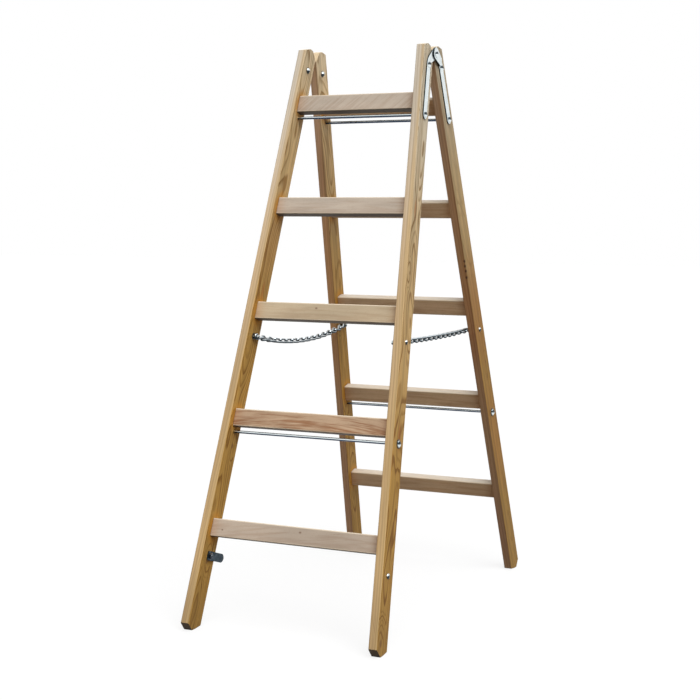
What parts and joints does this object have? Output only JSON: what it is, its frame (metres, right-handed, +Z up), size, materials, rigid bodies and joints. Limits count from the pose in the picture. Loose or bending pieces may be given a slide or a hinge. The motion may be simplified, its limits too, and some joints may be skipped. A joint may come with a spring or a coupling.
{
  "type": "trestle ladder",
  "caption": "Folding wooden trestle ladder: splayed rung sections hinged at the top by steel straps and held open by side chains, with tie rods under the rungs and closing guides.",
  "frame": {"origin": "on the floor, midway between the four feet", "axes": "+Z up, +X to the ladder's right seen from the front section, +Y from the front section to the rear one"},
  "size_m": [0.566, 1.1096, 1.5638],
  "materials": {
    "pine": "planed, bare",
    "beech": "planed, bare",
    "zinc_steel": "bright zinc plated",
    "chain_steel": "dull galvanised",
    "guide_steel": "dark mill finish"
  },
  "bodies": {
    "front_section": {"front_left_stile": "pine", "front_right_stile": "pine", "front_rung_1": "beech", "front_rung_2": "beech", "front_rung_3": "beech", "front_rung_4": "beech", "front_rung_5": "beech", "front_top_tie_rod": "zinc_steel", "front_low_tie_rod": "zinc_steel", "front_tie_rod_nuts": "zinc_steel", "front_tie_rod_washers": "zinc_steel", "front_left_hinge_leaf": "zinc_steel", "front_right_hinge_leaf": "zinc_steel", "hinge_rivets": "zinc_steel", "front_hinge_bolts": "zinc_steel", "front_hinge_nuts": "zinc_steel", "front_hinge_washers": "zinc_steel", "front_chain_bolts": "zinc_steel", "front_chain_nuts": "zinc_steel", "front_chain_washers": "zinc_steel", "left_guide_plate": "guide_steel", "right_guide_plate": "guide_steel", "guide_bolts": "zinc_steel", "guide_nuts": "zinc_steel", "guide_spacers": "zinc_steel"},
    "rear_section": {"rear_left_stile": "pine", "rear_right_stile": "pine", "rear_rung_1": "beech", "rear_rung_2": "beech", "rear_rung_3": "beech", "rear_rung_4": "beech", "rear_rung_5": "beech", "rear_top_tie_rod": "zinc_steel", "rear_low_tie_rod": "zinc_steel", "rear_tie_rod_nuts": "zinc_steel", "rear_tie_rod_washers": "zinc_steel", "rear_left_hinge_leaf": "zinc_steel", "rear_right_hinge_leaf": "zinc_steel", "rear_hinge_bolts": "zinc_steel", "rear_hinge_nuts": "zinc_steel", "rear_hinge_washers": "zinc_steel", "rear_chain_bolts": "zinc_steel", "rear_chain_nuts": "zinc_steel", "rear_chain_washers": "zinc_steel"},
    "left_chain_front": {"left_chain_front_half": "chain_steel"},
    "left_chain_rear": {"left_chain_rear_half": "chain_steel"},
    "right_chain_front": {"right_chain_front_half": "chain_steel"},
    "right_chain_rear": {"right_chain_rear_half": "chain_steel"}
  },
  "joints": [
    {"name": "fold", "type": "hinge", "parent": "front_section", "child": "rear_section", "pos_m": [0, 0, 1.53663], "axis": [-1, 0, 0], "range_deg": [0, 35.4], "deforming": ["left_chain_front_half", "left_chain_rear_half", "right_chain_front_half", "right_chain_rear_half"]},
    {"name": "left_chain_front_swing", "type": "hinge", "parent": "front_section", "child": "left_chain_front", "pos_m": [-0.20505, -0.28344, 0.76197], "axis": [-1, 0, 0], "range_deg": [0, 96.8]},
    {"name": "left_chain_rear_swing", "type": "hinge", "parent": "rear_section", "child": "left_chain_rear", "pos_m": [-0.20505, 0.28344, 0.76197], "axis": [1, 0, 0], "range_deg": [0, 96.8]},
    {"name": "right_chain_front_swing", "type": "hinge", "parent": "front_section", "child": "right_chain_front", "pos_m": [0.20505, -0.28344, 0.76197], "axis": [-1, 0, 0], "range_deg": [0, 101.6]},
    {"name": "right_chain_rear_swing", "type": "hinge", "parent": "rear_section", "child": "right_chain_rear", "pos_m": [0.20505, 0.28344, 0.76197], "axis": [1, 0, 0], "range_deg": [0, 101.6]}
  ],
  "couplings": [
    {"joint": "left_chain_front_swing", "follows": "fold", "ratio": 2.72},
    {"joint": "left_chain_rear_swing", "follows": "fold", "ratio": 2.72},
    {"joint": "right_chain_front_swing", "follows": "fold", "ratio": 2.86},
    {"joint": "right_chain_rear_swing", "follows": "fold", "ratio": 2.86}
  ]
}
